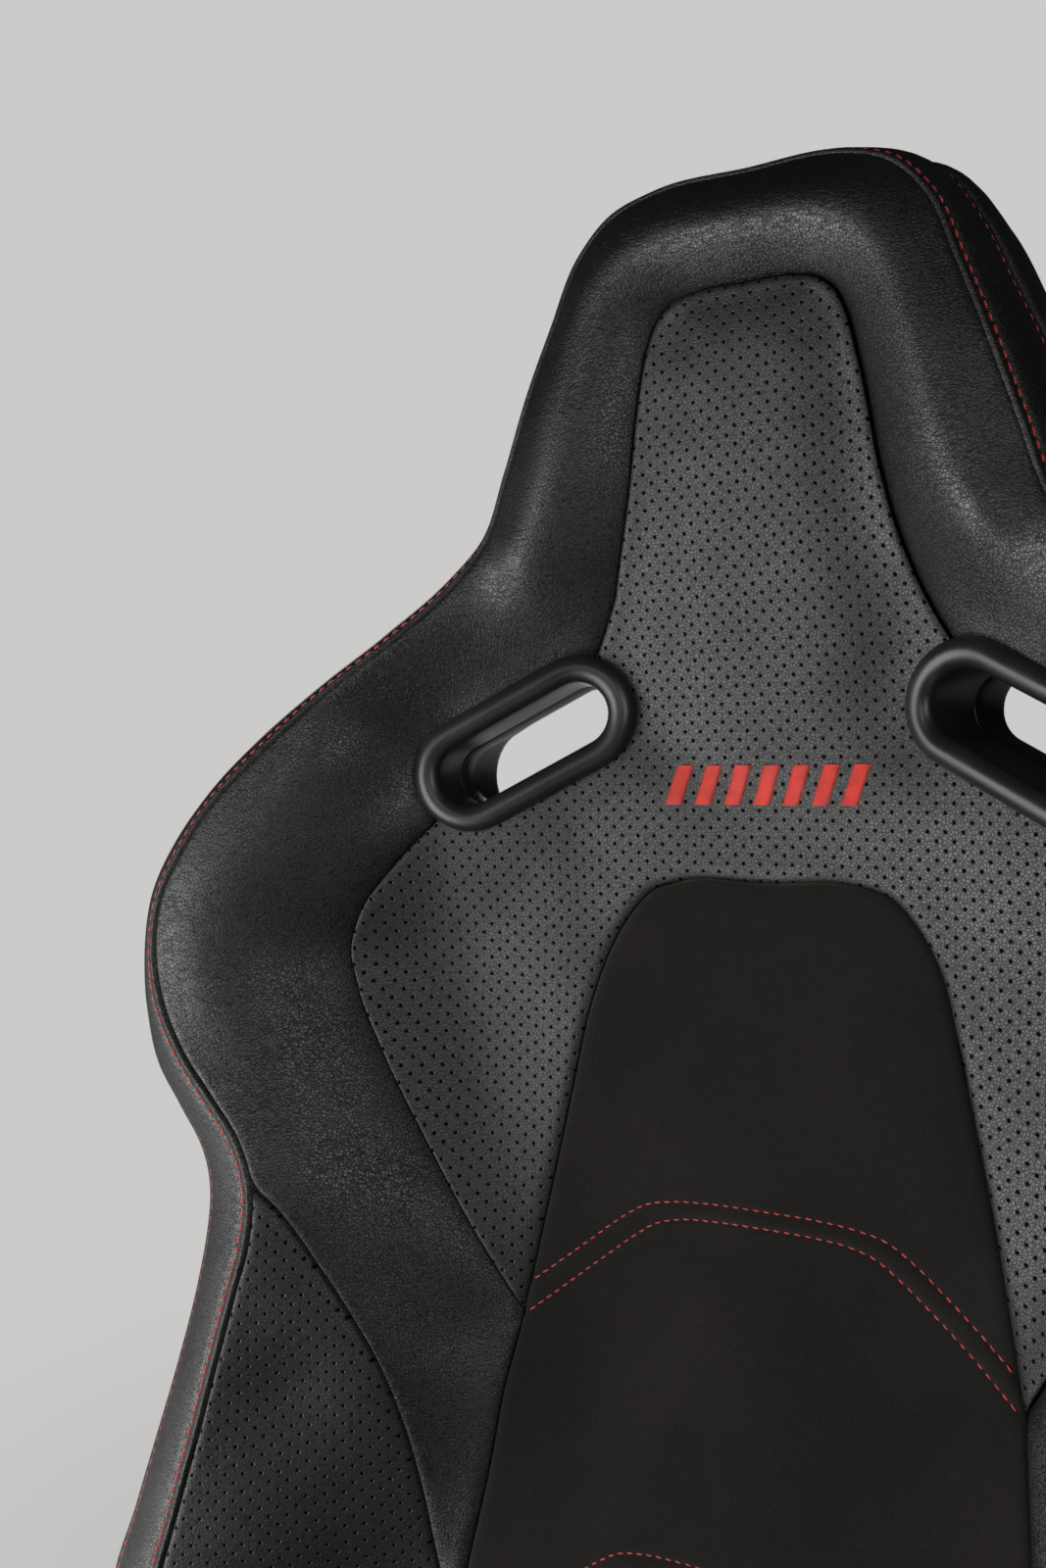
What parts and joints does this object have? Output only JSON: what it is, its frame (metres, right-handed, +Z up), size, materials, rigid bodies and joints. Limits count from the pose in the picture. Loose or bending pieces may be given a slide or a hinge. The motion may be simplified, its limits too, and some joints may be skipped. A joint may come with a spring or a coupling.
{
  "type": "reclining racing seat",
  "caption": "Reclining sport seat with padded leather and suede bolsters, harness openings, steel tube frame, dual recliners and slide rails.",
  "frame": {"origin": "on the floor plane, under the centre of the seat's bounding box at rest", "axes": "+Z up, the seat faces -Y, +X to the viewer's right when looking at the front"},
  "size_m": [0.598, 0.776, 0.9554],
  "materials": {
    "leather": "satin",
    "perforated": "satin",
    "suede": "matte",
    "foam": "matte",
    "plastic": "satin",
    "frame": "satin",
    "zinc": "satin",
    "spring": "satin"
  },
  "bodies": {
    "floor_rails": {"rail_lower_left": "zinc", "rail_lower_right": "zinc", "rail_cap_front_left": "plastic", "rail_cap_front_right": "plastic", "rail_cap_rear_left": "plastic", "rail_cap_rear_right": "plastic"},
    "seat_base": {"rail_upper_left": "zinc", "rail_upper_right": "zinc", "glide_shoe_front_left": "plastic", "glide_shoe_front_right": "plastic", "glide_shoe_rear_left": "plastic", "glide_shoe_rear_right": "plastic", "side_member_left": "frame", "side_member_right": "frame", "cross_tube_front": "frame", "cross_tube_rear": "frame", "seat_pan": "frame", "cushion_foam": "foam", "cushion_insert": "suede", "cushion_nose": "leather", "cushion_bolster_left": "leather", "cushion_bolster_right": "leather", "side_cover_left": "plastic", "side_cover_right": "plastic", "recliner_plate_left": "zinc", "recliner_plate_right": "zinc", "recliner_bolt_left": "zinc", "recliner_bolt_right": "zinc", "recliner_spring_left": "spring", "recliner_spring_right": "spring"},
    "backrest": {"back_hoop": "frame", "back_cross_tube_lower": "frame", "back_cross_tube_upper": "frame", "lumbar_spring_lower": "spring", "lumbar_spring_middle": "spring", "lumbar_spring_upper": "spring", "recliner_arm_left": "zinc", "recliner_arm_right": "zinc", "back_foam": "foam", "back_shell": "plastic", "leather_ring": "leather", "yoke_panel": "perforated", "centre_insert": "suede", "side_panel_left": "perforated", "side_panel_right": "perforated", "side_gusset": "leather", "bezel_front_left": "plastic", "bezel_front_right": "plastic", "bezel_rear_left": "plastic", "bezel_rear_right": "plastic"},
    "recline_release": {"release_rod": "zinc", "recline_lever_left": "plastic", "recline_lever_right": "plastic", "pawl_left": "zinc", "pawl_right": "zinc"},
    "slide_release": {"slide_bail": "frame", "slide_latch_left": "zinc", "slide_latch_right": "zinc"}
  },
  "joints": [
    {"name": "seat_slide", "type": "slide", "parent": "floor_rails", "child": "seat_base", "axis": [0, -1, 0], "range_m": [-0.085, 0.075]},
    {"name": "backrest_recline", "type": "hinge", "parent": "seat_base", "child": "backrest", "pos_m": [0, 0.154, 0.175], "axis": [-1, 0, 0], "range_deg": [-30, 55]},
    {"name": "recline_lever_lift", "type": "hinge", "parent": "seat_base", "child": "recline_release", "pos_m": [0, 0.104, 0.13], "axis": [-1, 0, 0], "range_deg": [0, 22]},
    {"name": "slide_bail_lift", "type": "hinge", "parent": "seat_base", "child": "slide_release", "pos_m": [0, -0.121, 0.051], "axis": [-1, 0, 0], "range_deg": [0, 9]}
  ]
}
